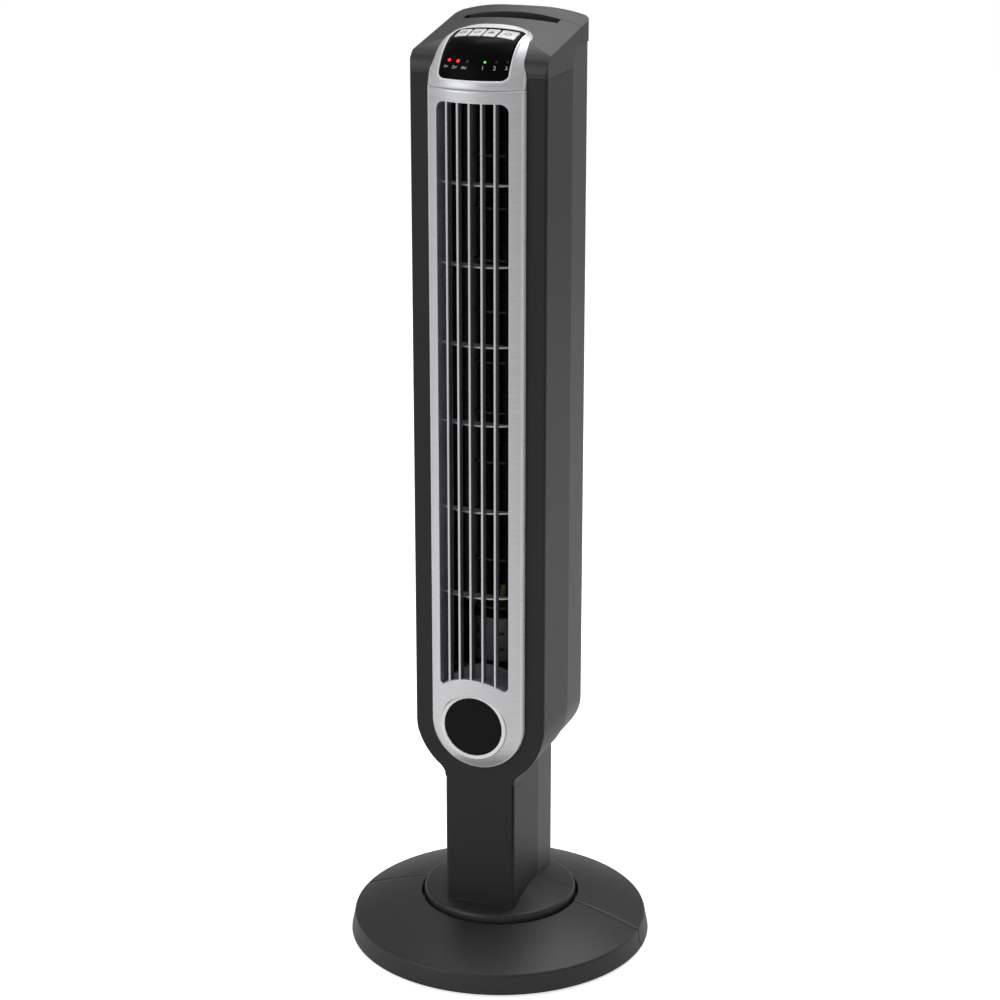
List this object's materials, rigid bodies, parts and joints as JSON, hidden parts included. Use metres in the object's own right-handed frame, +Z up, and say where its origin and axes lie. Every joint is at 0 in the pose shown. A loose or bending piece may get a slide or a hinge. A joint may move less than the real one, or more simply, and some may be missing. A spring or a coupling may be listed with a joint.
{
  "type": "tower fan",
  "caption": "Upright tower fan on a round base: the swinging tower holds a cross-flow blower behind a barred outlet, a key pad with display and a handle recess.",
  "frame": {"origin": "on the ground under the swing axis, at the centre of the base", "axes": "+Z up along the swing axis, -Y the way the air blows, +X to the right of someone who faces the fan"},
  "size_m": [0.2984, 0.2984, 0.9145],
  "materials": {
    "base_plastic": "satin, fine grain",
    "front_plastic": "satin, fine grain",
    "rear_plastic": "satin, fine grain",
    "cap_plastic": "satin, fine grain",
    "inner_plastic": "matt black",
    "silver_paint": "silver paint, finely brushed",
    "bright_trim": "bright",
    "gloss_black": "gloss",
    "key_white": "satin white",
    "rubber": "matt",
    "nylon": "natural nylon",
    "screw_steel": "zinc plated",
    "plated_steel": "plated sheet steel",
    "motor_steel": "dark lacquer",
    "brass": "sintered bronze",
    "wire_red": "insulated wire",
    "board_green": "circuit board",
    "lamp_red": "lit lamp",
    "lamp_green": "lit lamp"
  },
  "bodies": {
    "base": {"base_front": "base_plastic", "base_rear": "base_plastic", "rubber_feet": "rubber", "base_screws": "screw_steel", "bearing_plate": "plated_steel", "plate_screws": "screw_steel", "pivot_bush": "nylon", "thrust_washer": "nylon", "swing_fork": "inner_plastic"},
    "tower": {"front_housing": "front_plastic", "rear_housing": "rear_plastic", "housing_screws": "screw_steel", "swivel_plate": "plated_steel", "swivel_screws": "screw_steel", "spindle_washer": "plated_steel", "spindle_screw": "screw_steel", "swing_motor": "plated_steel", "swing_motor_screws": "screw_steel", "cord_grommet": "rubber", "capacitor": "nylon", "front_panel": "silver_paint", "outlet_duct": "silver_paint", "badge_ring": "bright_trim", "badge_plate": "gloss_black", "air_guide": "inner_plastic", "motor_deck": "inner_plastic", "fan_motor": "motor_steel", "motor_grommets": "rubber", "motor_screws": "screw_steel", "bearing_deck": "inner_plastic", "top_bearing": "brass", "bearing_rubber": "rubber", "wire_loom": "wire_red", "top_cap": "cap_plastic", "carry_handle": "cap_plastic", "control_bezel": "silver_paint", "display_window": "gloss_black", "display_board": "board_green", "timer_lamps": "lamp_red", "speed_lamps": "lamp_green", "ir_receiver": "gloss_black", "control_board": "board_green", "key_switches": "inner_plastic", "board_screws": "screw_steel"},
    "blower": {"blower_shaft": "plated_steel", "wheel_hub": "brass", "hub_set_screw": "screw_steel", "blower_wheel": "inner_plastic", "upper_journal": "plated_steel"},
    "crank": {"crank": "nylon", "swing_shaft": "plated_steel"},
    "timer_key": {"timer_key": "key_white"},
    "swing_key": {"swing_key": "key_white"},
    "speed_key": {"speed_key": "key_white"},
    "power_key": {"power_key": "key_white"}
  },
  "joints": [
    {"name": "tower_swing", "type": "hinge", "parent": "base", "child": "tower", "pos_m": [0, 0, 0.04], "axis": [0, 0, 1], "range_deg": [-40, 40]},
    {"name": "crank_turn", "type": "hinge", "parent": "tower", "child": "crank", "pos_m": [0, -0.02, 0.035], "axis": [0, 0, 1], "range_deg": [-130.5, 130.5]},
    {"name": "blower_spin", "type": "hinge", "parent": "tower", "child": "blower", "pos_m": [0, 0.012, 0.6], "axis": [0, 0, 1], "continuous": true},
    {"name": "timer_key_press", "type": "slide", "parent": "tower", "child": "timer_key", "axis": [0, 0.1874, -0.9823], "range_m": [0, 0.0005], "stiffness_N_per_m": 250},
    {"name": "swing_key_press", "type": "slide", "parent": "tower", "child": "swing_key", "axis": [0, 0.1874, -0.9823], "range_m": [0, 0.0005], "stiffness_N_per_m": 250},
    {"name": "speed_key_press", "type": "slide", "parent": "tower", "child": "speed_key", "axis": [0, 0.1874, -0.9823], "range_m": [0, 0.0005], "stiffness_N_per_m": 250},
    {"name": "power_key_press", "type": "slide", "parent": "tower", "child": "power_key", "axis": [0, 0.1874, -0.9823], "range_m": [0, 0.0005], "stiffness_N_per_m": 250}
  ],
  "couplings": [
    {"joint": "crank_turn", "follows": "tower_swing", "ratio": -3.25}
  ]
}
